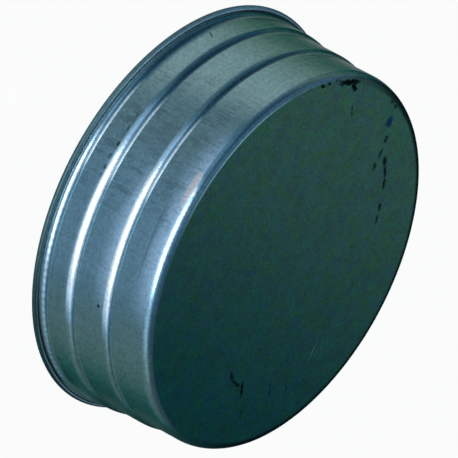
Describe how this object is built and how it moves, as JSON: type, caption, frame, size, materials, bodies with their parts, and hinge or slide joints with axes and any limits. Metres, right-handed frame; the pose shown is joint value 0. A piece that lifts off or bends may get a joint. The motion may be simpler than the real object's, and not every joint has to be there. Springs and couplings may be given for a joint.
{
  "type": "duct end cap",
  "caption": "Round end cap for a ventilation duct: a cup pressed from galvanised sheet with a flat closed face, a wall in soft steps, a flared stop and a rolled open rim.",
  "frame": {"origin": "on the axis, in the plane of the rolled rim's lowest points, on which the cap stands", "axes": "+Z along the axis from the open rim to the closed face; +X and +Y lie across it, and the part is round about Z"},
  "size_m": [0.1286, 0.1286, 0.0423],
  "materials": {
    "galvanised_steel": "galvanised sheet, satin, with draw lines round the wall and small scuffs"
  },
  "bodies": {
    "root": {"end_cap": "galvanised_steel"}
  },
  "joints": []
}
